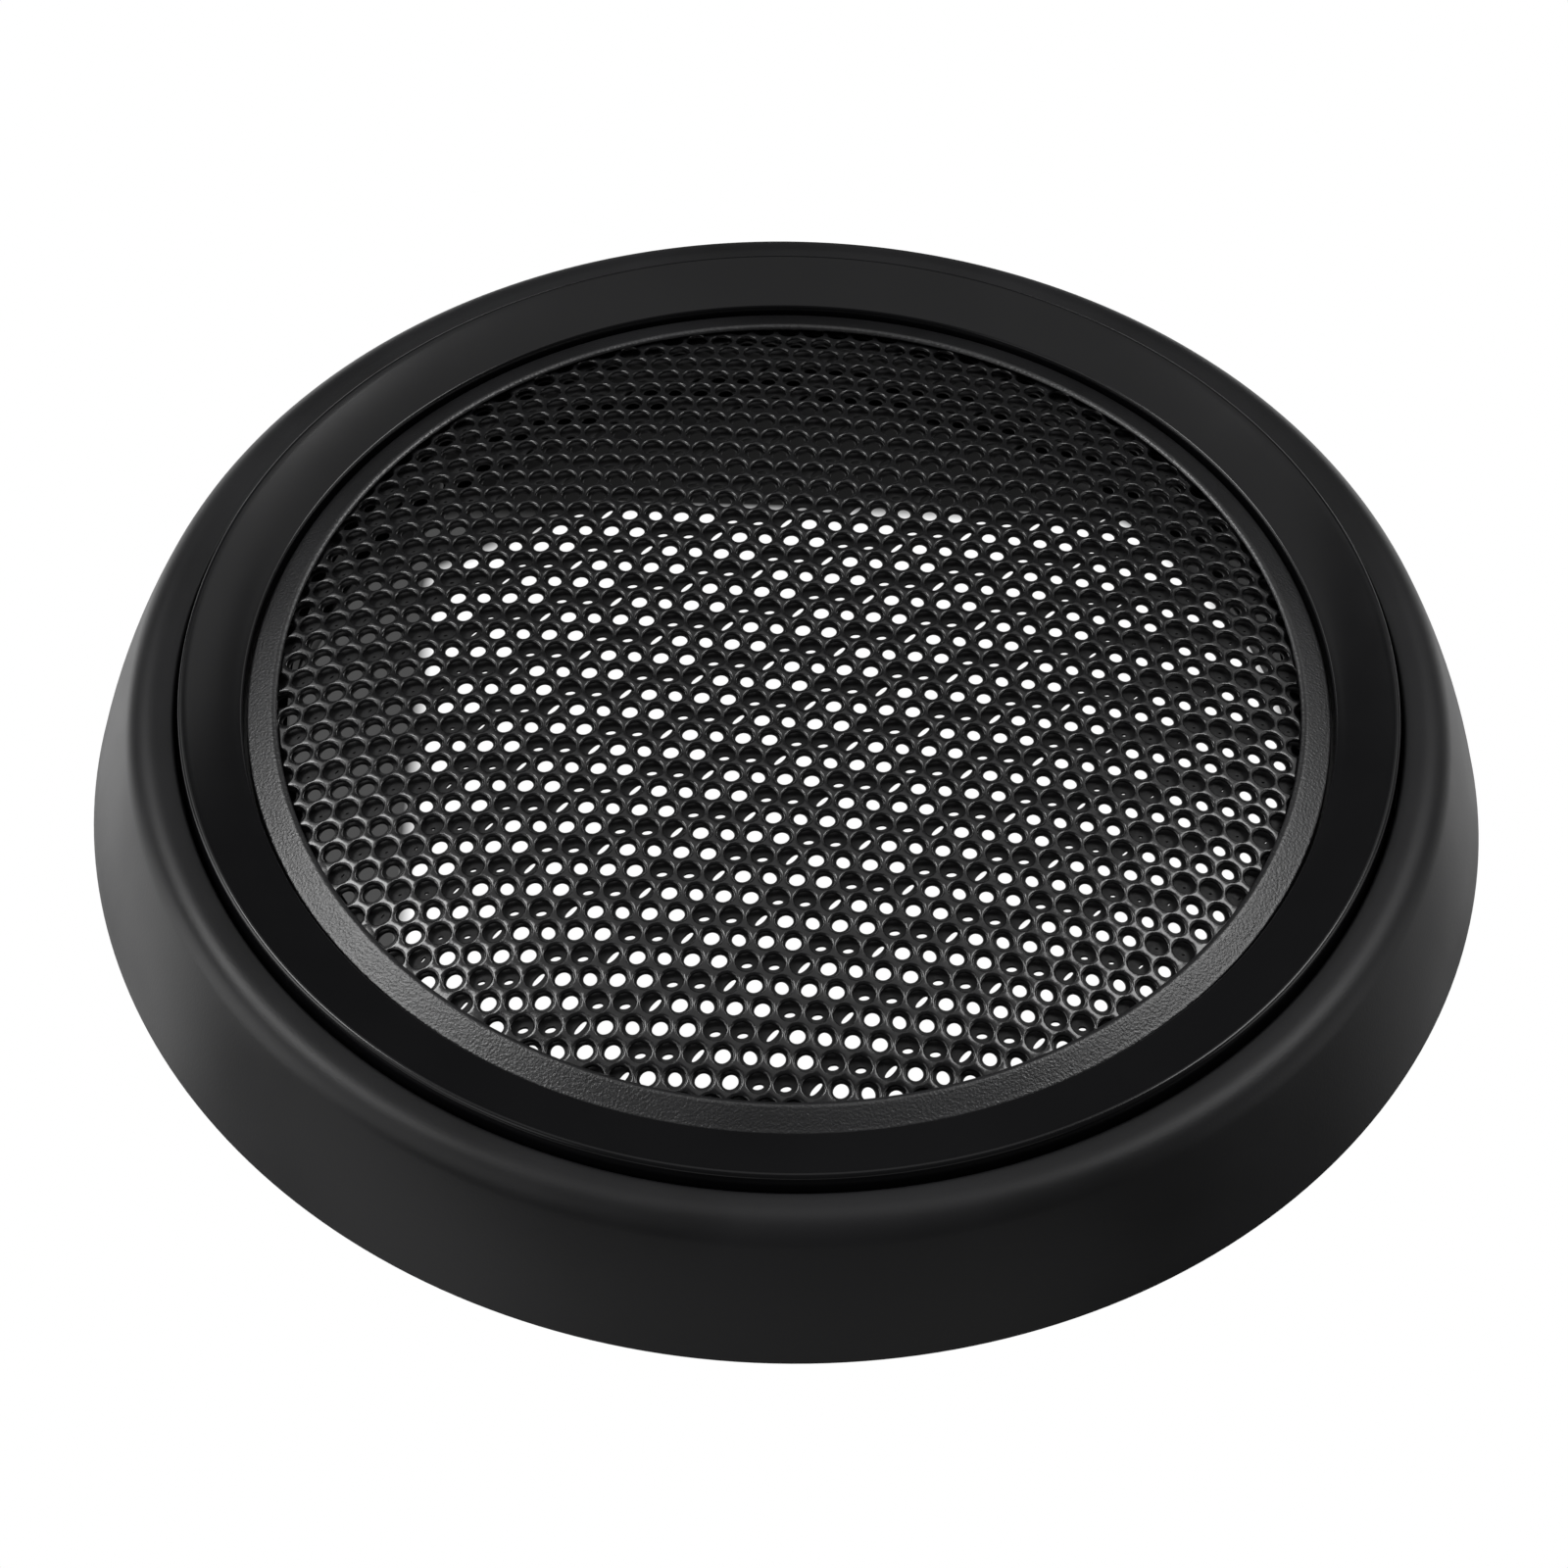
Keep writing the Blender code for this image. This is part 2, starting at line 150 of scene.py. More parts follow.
OPEN_FADE = (5.0, 45.0)    # the open ones shrink a little between these distances to the right
OPEN_LEAST = 0.87

# Bezel
BEZEL_INNER = 56.2
BEZEL_CREST = 17.05
BEZEL_OUTER = 59.6
BEZEL_OUTER_TOP = 15.85
BEZEL_EDGE = 0.3
BEZEL_EDGE_START = 55.0    # degrees, where the outer edge's rounding starts
BEZEL_ROLL = 0.6           # width of the soft inner edge
BEZEL_CURVE = 1.02         # how much the face curves outward
BEZEL_SKIN = 0.7           # thickness of its outer wall
BEZEL_FLANGE_LOW = 12.2
BEZEL_FLANGE_HIGH = 13.6
FLANGE_REACH = 64.0        # outer radius of the bezel's and the clamp ring's flanges

# Clamp ring and screws
CLAMP_INNER = 55.2
CLAMP_LOW = 10.4
CLAMP_FLANGE_TOP = 11.9
CLAMP_BEND = 56.8          # a point of the seat between its edges, so that it follows the dome
CLAMP_SHOULDER = 58.5      # outer edge of the seat
CLAMP_CHAMFER = 1.2
CLAMP_EDGE = 0.3
CLAMP_DEPTH = 1.9          # the seat lies this far under the dome
SCREW_COUNT = 6
SCREW_START = 30.0         # degrees round to the first screw
SCREW_CIRCLE = 62.2
SCREW_HOLE = 1.5           # radius, like the shaft's and the head's
SCREW_HOLE_TOP = 16.1
SCREW_HOLE_SIDES = 24
SCREW_SHAFT = 1.2
SCREW_TIP = 15.7
SCREW_POINT = 0.4
SCREW_HEAD = 2.3
SCREW_HEAD_HIGH = CLAMP_LOW - GAP
SCREW_HEAD_LOW = 9.0
SCREW_HEAD_EDGE = 0.1
SCREW_ROUND = 0.55
SCREW_SIDES = 48
CROSS_LENGTH = 2.6
CROSS_WIDTH = 0.6
CROSS_DEPTH = 0.6

# Camera of the photograph
CAMERA_RISE = 49.9         # degrees above the horizon
CAMERA_DISTANCE = 620.0
CAMERA_ROLL = 1.44         # degrees
CAMERA_CLIP = 10.0
LENS = 126.8
SENSOR = 36.0
SHIFT = (-0.00208, 0.00451)     # of the lens, over the width of the picture


# ---------- geometry helpers ----------

def arc(centre, radius, start, end, steps):
    """Points of a circular arc, angles in degrees, both ends included."""
    points = []
    for step in range(steps + 1):
        angle = math.radians(start + (end - start) * step / steps)
        points.append((centre[0] + radius * math.cos(angle), centre[1] + radius * math.sin(angle)))
    return points


def spread(low, high, count):
    """Evenly spaced values, both ends included."""
    return [low + (high - low) * step / (count - 1) for step in range(count)]


def around(count, start=0.0):
    """Evenly spaced angles of a full turn in radians; the start is in degrees."""
    return [math.radians(start + 360.0 * step / count) for step in range(count)]


def add_object(name, bm, finish=None, sharp=SHARP_ANGLE):
    """An object made of the mesh, shaded smooth if it has a finish."""
    bmesh.ops.recalc_face_normals(bm, faces=bm.faces)
    mesh = bpy.data.meshes.new(name)
    bm.to_mesh(mesh)
    bm.free()
    made = bpy.data.objects.new(name, mesh)
    bpy.context.scene.collection.objects.link(made)
    if finish is not None:
        mesh.materials.append(finish)
        mesh.shade_smooth()
        mesh.set_sharp_from_angle(angle=math.radians(sharp))
    return made


def turned(name, outline, finish=None, sides=SIDES):
    """An outline of (radius, height) points turned about Z."""
    bm = bmesh.new()
    points = [bm.verts.new((r * MM, 0.0, z * MM)) for r, z in outline]
    edges = [bm.edges.new(pair) for pair in zip(points, points[1:])]
    if outline[0][0] > 0.0:
        edges.append(bm.edges.new((points[-1], points[0])))
    bmesh.ops.spin(bm, geom=points + edges, cent=(0, 0, 0), axis=(0, 0, 1),
                   angle=math.tau, steps=sides, use_merge=True)
    bmesh.ops.remove_doubles(bm, verts=bm.verts, dist=SAME_PLACE * MM)
    return add_object(name, bm, finish)


def add_box(bm, angle, r_low, r_high, side, width, z_low, z_high):
    """A box at a place round the axis; side shifts it along the tangent."""
    out = Vector((math.cos(angle), math.sin(angle), 0.0))
    along = Vector((-math.sin(angle), math.cos(angle), 0.0))
    corners = []
    for z in (z_low, z_high):
        for r, t in ((r_low, -width / 2), (r_high, -width / 2), (r_high, width / 2), (r_low, width / 2)):
            place = out * r + along * (side + t)
            corners.append(bm.verts.new((place.x * MM, place.y * MM, z * MM)))
    low, high = corners[:4], corners[4:]
    bm.faces.new(low[::-1])
    bm.faces.new(high)
    for index in range(4):
        after = (index + 1) % 4
        bm.faces.new((low[index], low[after], high[after], high[index]))


def add_post(bm, angle, circle, radius, z_low, z_high, sides):
    """An upright cylinder at a place on a circle round the axis."""
    made = bmesh.ops.create_cone(bm, cap_ends=True, segments=sides, radius1=radius * MM,
                                 radius2=radius * MM, depth=(z_high - z_low) * MM)
    place = Vector((circle * math.cos(angle), circle * math.sin(angle), (z_low + z_high) / 2)) * MM
    bmesh.ops.translate(bm, verts=made["verts"], vec=place)


def combine(target, tool_mesh, operation):
    """Apply a boolean of the tool to the target and drop the tool."""
    tool = add_object("tool", tool_mesh)
    modifier = target.modifiers.new("cut", "BOOLEAN")
    modifier.operation = operation
    modifier.object = tool
    bpy.context.view_layer.update()
    graph = bpy.context.evaluated_depsgraph_get()
    mesh = bpy.data.meshes.new_from_object(target.evaluated_get(graph))
    target.modifiers.clear()
    target.data = mesh
    bpy.data.objects.remove(tool, do_unlink=True)
    mesh.shade_smooth()
    mesh.set_sharp_from_angle(angle=math.radians(SHARP_ANGLE))


# ---------- trim ring ----------

def skirt_radius(z):
    """Outer radius of the skirt at a height."""
    return OUTER_RADIUS - SKIRT_LEAN * z - SKIRT_BOW * z * z


def trim_outline():
    """Section of the trim ring: foot, skirt, shoulder, well with its catch groove, flange and channel."""
    outline = arc((OUTER_RADIUS - FOOT_ROUND - FOOT_INSET, FOOT_ROUND), FOOT_ROUND, -90.0, FOOT_END, 4)
    outline += [(skirt_radius(z), z) for z in spread(SKIRT_START, SKIRT_TOP, 14)[:-1]]
    turn = math.radians(SHOULDER_START)
    centre_r = skirt_radius(SKIRT_TOP) - SHOULDER_RADIUS * math.cos(turn)
    centre_z = TRIM_HEIGHT - SHOULDER_RADIUS
    outline += arc((centre_r, centre_z), SHOULDER_RADIUS, SHOULDER_START, 90.0, 14)
    outline += arc((CUP_RADIUS + CUP_LIP, TRIM_HEIGHT - CUP_LIP), CUP_LIP, 90.0, 180.0, 6)
    outline += [
        (CUP_RADIUS, CATCH_HIGH),
        (CUP_RADIUS + CATCH_DEPTH, CATCH_HIGH - CATCH_DEPTH),
        (CUP_RADIUS + CATCH_DEPTH, CATCH_LOW + CATCH_DEPTH),
        (CUP_RADIUS, CATCH_LOW),
        (CUP_RADIUS, FLANGE_THICK),
    ]
    outline += arc((OPENING_RADIUS + FLANGE_EDGE, FLANGE_THICK - FLANGE_EDGE), FLANGE_EDGE, 90.0, 180.0, 4)
    outline += arc((OPENING_RADIUS + FLANGE_EDGE, FLANGE_EDGE), FLANGE_EDGE, 180.0, 270.0, 4)
    wall = CUP_RADIUS + CUP_WALL
    inside = skirt_radius(CHANNEL_TOP) - SKIRT_WALL
    outline += [(wall - FLANGE_EDGE, 0.0), (wall, FLANGE_EDGE)]
    round_z = CHANNEL_TOP - CHANNEL_ROUND
    outline += arc((wall + CHANNEL_ROUND, round_z), CHANNEL_ROUND, 180.0, 90.0, 5)
    outline += arc((inside - CHANNEL_ROUND, round_z), CHANNEL_ROUND, 90.0, CHANNEL_END, 5)
    outline += [(skirt_radius(z) - SKIRT_WALL, z) for z in spread(CHANNEL_TOP - CHANNEL_DROP, 0.0, 8)]
    return outline


def make_trim_ring(finish):
    ring = turned("trim_ring_detail", trim_outline(), finish)
    ribs = bmesh.new()
    for angle in around(RIB_COUNT, 180.0 / RIB_COUNT):
        add_box(ribs, angle, CUP_RADIUS + CUP_WALL - RIB_BITE, skirt_radius(RIB_HIGH) - RIB_BITE, 0.0,
                RIB_THICK, RIB_LOW, RIB_HIGH)
    combine(ring, ribs, "UNION")
    drills = bmesh.new()
    for angle in around(MOUNT_COUNT, MOUNT_START):
        add_post(drills, angle, MOUNT_CIRCLE, MOUNT_HOLE, -PAST, FLANGE_THICK + PAST, MOUNT_SIDES)
    combine(ring, drills, "DIFFERENCE")
    return ring


# ---------- grille frame, bezel and clamp ring ----------

def screw_drills():
    """The tool that cuts the screw holes in the frame, the bezel and the clamp ring."""
    drills = bmesh.new()
    for angle in around(SCREW_COUNT, SCREW_START):
        add_post(drills, angle, SCREW_CIRCLE, SCREW_HOLE, CLAMP_LOW - PAST, SCREW_HOLE_TOP,
                 SCREW_HOLE_SIDES)
    return drills


def frame_outline():
    """Section of the frame: outer edge, hollow face, inner edge, band, plate and wall."""
    crest_r = FRAME_RADIUS - FRAME_EDGE
    wall = FRAME_RADIUS - FRAME_WALL
    edge = FRAME_INNER_EDGE
    slope = (FRAME_CREST - FRAME_INNER_TOP) / (crest_r - FRAME_INNER)
    steep = 90.0 + math.degrees(math.atan(slope * FRAME_CURVE))
    gentle = 90.0 + math.degrees(math.atan(slope * FRAME_INNER_SLOPE))
    outline = arc((crest_r, FRAME_CREST - FRAME_EDGE), FRAME_EDGE, 0.0, steep, 10)
    inner = arc((FRAME_INNER + edge, FRAME_INNER_TOP - edge), edge, gentle, 180.0, 7)
    (r_high, z_high), (r_low, z_low) = outline[-1], inner[0]
    outline += [(r_low + (r_high - r_low) * share, z_low + (z_high - z_low) * share ** FRAME_CURVE)
                for share in spread(1.0, 0.0, 14)[1:-1]]
    outline += inner
    outline += [
        (FRAME_INNER, FRAME_BAND_FOOT + FRAME_CHAMFER),
        (FRAME_INNER + FRAME_CHAMFER, FRAME_BAND_FOOT),
        (FRAME_BAND_OUTER, FRAME_BAND_FOOT),
        (FRAME_BAND_OUTER, FRAME_PLATE_UNDER),
        (wall - FRAME_CORNER, FRAME_PLATE_UNDER),
        (wall, FRAME_PLATE_UNDER - FRAME_CORNER),
        (wall, FRAME_FOOT + FRAME_CHAMFER),
        (wall + FRAME_CHAMFER, FRAME_FOOT),
        (FRAME_RADIUS - FRAME_LEAD_IN, FRAME_FOOT),
        (FRAME_RADIUS, FRAME_FOOT + FRAME_LEAD_IN),
    ]
    return outline


def make_grille_frame(finish):
    ring = turned("grille_frame_detail", frame_outline(), finish)
    beads = bmesh.new()
    slots = bmesh.new()
    for angle in around(SNAP_COUNT):
        add_box(beads, angle, FRAME_RADIUS - PAST, SNAP_REACH, 0.0, SNAP_WIDTH, SNAP_LOW, SNAP_HIGH)
        for side in (-SLOT_OFFSET, SLOT_OFFSET):
            add_box(slots, angle, FRAME_RADIUS - FRAME_WALL - PAST, FRAME_RADIUS + PAST, side,
                    SLOT_WIDTH, FRAME_FOOT - PAST, SLOT_TOP)
    combine(ring, beads, "UNION")
    combine(ring, slots, "DIFFERENCE")
    combine(ring, screw_drills(), "DIFFERENCE")
    return ring


def under_dome(r, depth):
    """Height of a surface that lies depth under the dome, measured square to it."""
    height = DOME_APEX - DOME_DROP * (r / DOME_EDGE) ** DOME_POWER
    slope = DOME_DROP * DOME_POWER / DOME_EDGE * (r / DOME_EDGE) ** (DOME_POWER - 1)
    return height - depth * math.hypot(1.0, slope)


def bezel_outline():
    """Section of the bezel: soft inner edge, curved face, outer edge, flange and seat on the sheet."""
    inside = BEZEL_OUTER - BEZEL_SKIN
    edge = BEZEL_EDGE
    lip = under_dome(BEZEL_INNER, -GAP)
    outline = []
    for angle in spread(180.0, 90.0, 9)[1:]:
        turn = math.radians(angle)
        outline.append((BEZEL_INNER + BEZEL_ROLL * (1.0 + math.cos(turn)),
                        lip + (BEZEL_CREST - lip) * math.sin(turn)))
    crest_r = BEZEL_INNER + BEZEL_ROLL
    reach = BEZEL_OUTER - edge - crest_r
    fall = BEZEL_CREST - BEZEL_OUTER_TOP
    for share in spread(0.0, 1.0, 10)[1:]:
        outline.append((crest_r + reach * share, BEZEL_CREST - fall * share ** BEZEL_CURVE))
    outline += arc((BEZEL_OUTER - edge, BEZEL_OUTER_TOP - edge), edge, BEZEL_EDGE_START, 0.0, 5)
    outline += [
        (BEZEL_OUTER, BEZEL_FLANGE_HIGH),
        (FLANGE_REACH, BEZEL_FLANGE_HIGH),
        (FLANGE_REACH, BEZEL_FLANGE_LOW),
        (inside, BEZEL_FLANGE_LOW),
    ]
    outline += [(r, under_dome(r, -GAP)) for r in spread(inside, BEZEL_INNER, 5)]
    return outline


def make_mesh_bezel(finish):
    ring = turned("mesh_bezel_detail", bezel_outline(), finish)
    combine(ring, screw_drills(), "DIFFERENCE")
    return ring


def clamp_outline():
    """Section of the clamp ring: seat under the sheets, flange and bevelled inner edge."""
    seat = [(r, under_dome(r, CLAMP_DEPTH)) for r in (CLAMP_INNER, CLAMP_BEND, CLAMP_SHOULDER)]
    return seat + [
        (CLAMP_SHOULDER, CLAMP_FLANGE_TOP),
        (FLANGE_REACH - CLAMP_EDGE, CLAMP_FLANGE_TOP),
        (FLANGE_REACH, CLAMP_FLANGE_TOP - CLAMP_EDGE),
        (FLANGE_REACH, CLAMP_LOW + CLAMP_EDGE),
        (FLANGE_REACH - CLAMP_EDGE, CLAMP_LOW),
        (CLAMP_INNER + CLAMP_CHAMFER, CLAMP_LOW),
        (CLAMP_INNER, CLAMP_LOW + CLAMP_CHAMFER),
    ]


def make_clamp_ring(finish):
    ring = turned("clamp_ring_detail", clamp_outline(), finish)
    combine(ring, screw_drills(), "DIFFERENCE")
    return ring


# ---------- clamp screws ----------

def screw_outline():
    """Half section of a pan-head screw with its head below."""
    outline = [
        (0.0, SCREW_TIP),
        (SCREW_SHAFT - SCREW_POINT, SCREW_TIP),
        (SCREW_SHAFT, SCREW_TIP - SCREW_POINT),
        (SCREW_SHAFT, SCREW_HEAD_HIGH),
        (SCREW_HEAD - SCREW_HEAD_EDGE, SCREW_HEAD_HIGH),
        (SCREW_HEAD, SCREW_HEAD_HIGH - SCREW_HEAD_EDGE),
    ]
    outline += arc((SCREW_HEAD - SCREW_ROUND, SCREW_HEAD_LOW + SCREW_ROUND), SCREW_ROUND, 0.0, -90.0, 6)
    outline.append((0.0, SCREW_HEAD_LOW))
    return outline


def cross_prism():
    """The tool that cuts the cross recess into a screw's head from below."""
    tip, side = CROSS_LENGTH / 2, CROSS_WIDTH / 2
    arm = [(side, side), (side, tip), (-side, tip)]
    bm = bmesh.new()
    points = []
    for quarter in around(4):
        turn = Matrix.Rotation(quarter, 2)
        for point in arm:
            flat = turn @ Vector(point)
            points.append(bm.verts.new((flat.x * MM, flat.y * MM, (SCREW_HEAD_LOW - PAST) * MM)))
    face = bm.faces.new(points)
    grown = bmesh.ops.extrude_face_region(bm, geom=[face])["geom"]
    upper = [item for item in grown if isinstance(item, bmesh.types.BMVert)]
    bmesh.ops.translate(bm, verts=upper, vec=(0.0, 0.0, (CROSS_DEPTH + PAST) * MM))
    return bm


def make_screws(finish):
    pattern = turned("clamp_screw_detail", screw_outline(), finish, SCREW_SIDES)
    combine(pattern, cross_prism(), "DIFFERENCE")
    screws = []
    for number, angle in enumerate(around(SCREW_COUNT, SCREW_START), start=1):
        screw = bpy.data.objects.new(f"clamp_screw_{number}_detail", pattern.data.copy())
        bpy.context.scene.collection.objects.link(screw)
        turn = Matrix.Translation(Vector((math.cos(angle), math.sin(angle), 0.0)) * SCREW_CIRCLE * MM)
        screw.data.transform(turn @ Matrix.Rotation(angle, 4, "Z"))
        screws.append(screw)
    bpy.data.objects.remove(pattern, do_unlink=True)
    return screws


# ---------- perforated sheets ----------

def hole_centres():
    """(centre, kind) of every hole; the kind says which opening the rear sheet has behind it."""
    found = []
    for row in range(-LATTICE_REACH, LATTICE_REACH + 1):
        for column in range(-LATTICE_REACH, LATTICE_REACH + 1):
            place = FIRST_HOLE + ROW_STEP * column + NEXT_ROW * row
            if place.length <= HOLE_LIMIT:
                found.append((place, (column + KIND_SHIFT * row) % KINDS))
    return found


def round_loop(centre, radius, sides):
    return [centre + Vector((radius * math.cos(angle), radius * math.sin(angle)))
            for angle in around(sides)]


def oval_loop(centre, half_width, half_height, turn, sides):
    rotation = Matrix.Rotation(math.radians(turn), 2)
    return [centre + rotation @ Vector((half_width * math.cos(angle), half_height * math.sin(angle)))
            for angle in around(sides)]


def fade(place, limits, least):
    """1 up to the first limit, falling to the least value at the second."""
    share = (place - limits[0]) / (limits[1] - limits[0])
    return 1.0 - (1.0 - least) * min(max(share, 0.0), 1.0)


def rear_loop(centre, kind):
    """Opening of the rear sheet behind a hole: four in seven are open, three nearly closed."""
    slit = fade(abs(centre.x), SLIT_FADE, SLIT_LEAST)
    wide = fade(centre.x, OPEN_FADE, OPEN_LEAST)
    centre = centre + REAR_SHIFT
    if kind in SLITS:
        shift, half_width, half_height, turn = SLITS[kind]
        return oval_loop(centre + Vector(shift), half_width * slit, half_height * slit, turn, SLIT_SIDES)
    if kind == TALL_KIND:
        half_width, half_height, turn = TALL_OPENING
        return oval_loop(centre, half_width * wide, half_height * wide, turn, OPEN_SIDES)
    half_width, half_height, turn = WIDE_OPENING
    return oval_loop(centre, half_width * wide * wide, half_height * wide, turn, OPEN_SIDES)


def dome_vector(flat, depth):
    """A point of the flat pattern laid on the dome, or depth under it, in metres."""
    return Vector((flat.x, flat.y, under_dome(flat.length, depth))) * MM


def cell_corners(centres):
    """Points where three holes' cells meet, so that the triangles between holes stay regular."""
    third = (ROW_STEP + NEXT_ROW) / 3
    return [centre + offset for centre in centres for offset in (third, -third)
            if (centre + offset).length < SHEET_RADIUS - SHEET_BORDER]


def flat_web(loops, centres):
    """Triangles between the loops: the points, the loop that each one is on, and the faces.

    Loop 0 is the sheet's rim and the others are holes; a point on no loop has loop -1.
    """
    points, edges, loop_of = [], [], []
    for number, loop in enumerate(loops):
        first = len(points)
        points += loop
        loop_of += [number] * len(loop)
        edges += [(first + i, first + (i + 1) % len(loop)) for i in range(len(loop))]
    points += cell_corners(centres)
    flat, _, faces, sources, _, _ = delaunay_2d_cdt(points, edges, [], 0, SAME_POINT)
    owner = [loop_of[source[0]] if source and source[0] < len(loop_of) else -1 for source in sources]
    kept = []
    for face in faces:
        owners = {owner[i] for i in face}
        inside_a_hole = len(owners) == 1 and max(owners) > 0
        if not inside_a_hole:
            kept.append(face)
    return flat, owner, kept


def drawn_in(point, middles, number, amount):
    """A point on a hole's loop moved toward the middle of the hole; other points stay."""
    if number < 1:
        return point
    inward = middles[number] - point
    return point + inward * (amount / inward.length)


def perforated_sheet(name, holes, depth, thick, rim_round, rim_steps, finish):
    """A domed sheet with the given holes, its top at depth under the dome, the holes' rims rounded."""
    origin = Vector((0.0, 0.0))
    middles = [origin] + [sum(hole, origin) / len(hole) for hole in holes]
    rim = round_loop(origin, SHEET_RADIUS, SHEET_SIDES)
    flat, owner, faces = flat_web([rim] + holes, middles[1:])
    bm = bmesh.new()
    layers = []
    for step in range(rim_steps + 1):
        turn = math.radians(90.0 * step / rim_steps)
        inward = rim_round * math.sin(turn)
        down = depth + thick * (1.0 - math.cos(turn))
        layers.append([bm.verts.new(dome_vector(drawn_in(point, middles, number, inward), down))
                       for point, number in zip(flat, owner)])
    top, low = layers[0], layers[-1]
    uses = {}
    for face in faces:
        bm.faces.new([top[i] for i in face])
        bm.faces.new([low[i] for i in reversed(face)])
        for a, b in zip(face, face[1:] + face[:1]):
            uses.setdefault(frozenset((a, b)), []).append((a, b))
    borders = [pairs[0] for pairs in uses.values() if len(pairs) == 1]
    for a, b in borders:
        for upper, under in zip(layers, layers[1:]):
            bm.faces.new((upper[b], upper[a], under[a], under[b]))
    loose = [vert for vert in bm.verts if not vert.link_faces]
    bmesh.ops.delete(bm, geom=loose, context="VERTS")
    return add_object(name, bm, finish, SHEET_SHARP)


def make_front_sheet(finish):
    holes = [round_loop(centre, FRONT_HOLE + FRONT_RIM, FRONT_SIDES) for centre, _ in hole_centres()]
    return perforated_sheet("front_mesh_detail", holes, 0.0, FRONT_THICK, FRONT_RIM, FRONT_RIM_STEPS,
                            finish)


def make_rear_sheet(finish):
    holes = [rear_loop(centre, kind) for centre, kind in hole_centres()]
    return perforated_sheet("rear_mesh_detail", holes, REAR_DEPTH, REAR_THICK, REAR_RIM, REAR_RIM_STEPS,
                            finish)


# ---------- materials ----------

def new_material(name):
    """A material with its nodes, its links, its shader and the object's own coordinates."""
    made = bpy.data.materials.new(name)
    made.use_nodes = True
    nodes, links = made.node_tree.nodes, made.node_tree.links
    place = nodes.new("ShaderNodeTexCoord").outputs["Object"]
    return made, nodes, links, nodes["Principled BSDF"], place


def noise_node(nodes, links, place, scale, detail):
    noise = nodes.new("ShaderNodeTexNoise")
    noise.inputs["Scale"].default_value = scale
    noise.inputs["Detail"].default_value = detail
    links.new(place, noise.inputs["Vector"])
    return noise.outputs["Fac"]


def ramp_node(nodes, links, factor, low, high, start=0.35, end=0.65):
    """The factor between start and end turned into a value from low to high."""
    ramp = nodes.new("ShaderNodeMapRange")
    ramp.inputs["From Min"].default_value = start
    ramp.inputs["From Max"].default_value = end
    ramp.inputs["To Min"].default_value = low
    ramp.inputs["To Max"].default_value = high
    links.new(factor, ramp.inputs["Value"])
    return ramp.outputs["Result"]


def set_colour(nodes, links, shader, factor, dark, light):
    """Base colour that goes from dark to light with the factor."""
    colour = nodes.new("ShaderNodeMix")
    colour.data_type = "RGBA"
    colour.inputs["A"].default_value = (*dark, 1.0)
    colour.inputs["B"].default_value = (*light, 1.0)
    links.new(ramp_node(nodes, links, factor, 0.0, 1.0), colour.inputs["Factor"])
    links.new(colour.outputs["Result"], shader.inputs["Base Color"])


def set_bump(nodes, links, shader, height, depth):
    bump = nodes.new("ShaderNodeBump")
    bump.inputs["Strength"].default_value = 1.0
    bump.inputs["Distance"].default_value = depth * MM
    links.new(height, bump.inputs["Height"])
    links.new(bump.outputs["Normal"], shader.inputs["Normal"])


def plastic(name, dark, light, rough, grain_scale, grain_depth, specular=0.5, ior=1.5):
    """Moulded black plastic: fine grain in the bump, soft smudges in colour and roughness."""
    made, nodes, links, shader, place = new_material(name)
    smudge = noise_node(nodes, links, place, scale=45.0, detail=4.0)
    grain = noise_node(nodes, links, place, scale=grain_scale, detail=3.0)
    set_colour(nodes, links, shader, smudge, dark, light)
    links.new(ramp_node(nodes, links, smudge, *rough), shader.inputs["Roughness"])
    set_bump(nodes, links, shader, grain, grain_depth)
    shader.inputs["Specular IOR Level"].default_value = specular
    shader.inputs["IOR"].default_value = ior
    return made


def coated_metal(name, dark, light, rough, specular, ior):
    """Black coated steel sheet: fine mottling and a little orange peel."""
    made, nodes, links, shader, place = new_material(name)
    mottle = noise_node(nodes, links, place, scale=900.0, detail=3.0)
    peel = noise_node(nodes, links, place, scale=2600.0, detail=2.0)
    set_colour(nodes, links, shader, mottle, dark, light)
    links.new(ramp_node(nodes, links, peel, *rough), shader.inputs["Roughness"])
    set_bump(nodes, links, shader, peel, depth=0.006)
    shader.inputs["Specular IOR Level"].default_value = specular
    shader.inputs["IOR"].default_value = ior
    return made


def black_zinc(name, dark, light, rough):
    """Zinc-plated screw, worn a little lighter in places."""
    made, nodes, links, shader, place = new_material(name)
    wear = noise_node(nodes, links, place, scale=700.0, detail=5.0)
    set_colour(nodes, links, shader, wear, dark, light)
    links.new(ramp_node(nodes, links, wear, *rough), shader.inputs["Roughness"])
    set_bump(nodes, links, shader, wear, depth=0.01)
    shader.inputs["Metallic"].default_value = 0.9
    return made


# ---------- stage, lights and camera ----------

FLOOR_RADIUS = 3000.0
FLOOR_SIDES = 96
FLOOR_GAP = 0.05           # air under the foot, so that the two faces don't coincide
PAINTED_SHADOW_RADIUS = 66.0        # painted shadow: the floor is dark inside this radius, under the cover
PAINTED_SHADOW_SOFT = 0.5
PAINTED_SHADOW_LEVEL = 0.012
PAINTED_LIGHT_RADIUS = 57.5        # painted pool of light: but lit inside this one, as far as these straight edges:
PAINTED_EDGE_SOFT = 1.0
PAINTED_LIGHT_EDGES = (            # direction across the floor, distance from the centre
    ((-1.0, 0.0), 42.0),
    ((0.0, 1.0), 43.0),
    ((-0.54, 0.84), 49.2),
)
PAINTED_HALF_SHADE_LEVEL = 0.075         # painted half shade beyond the painted light, as far as these edges:
PAINTED_HALF_SHADE_EDGES = (
    ((0.0, 1.0), 41.0),
    ((-0.54, 0.84), 56.0),
)

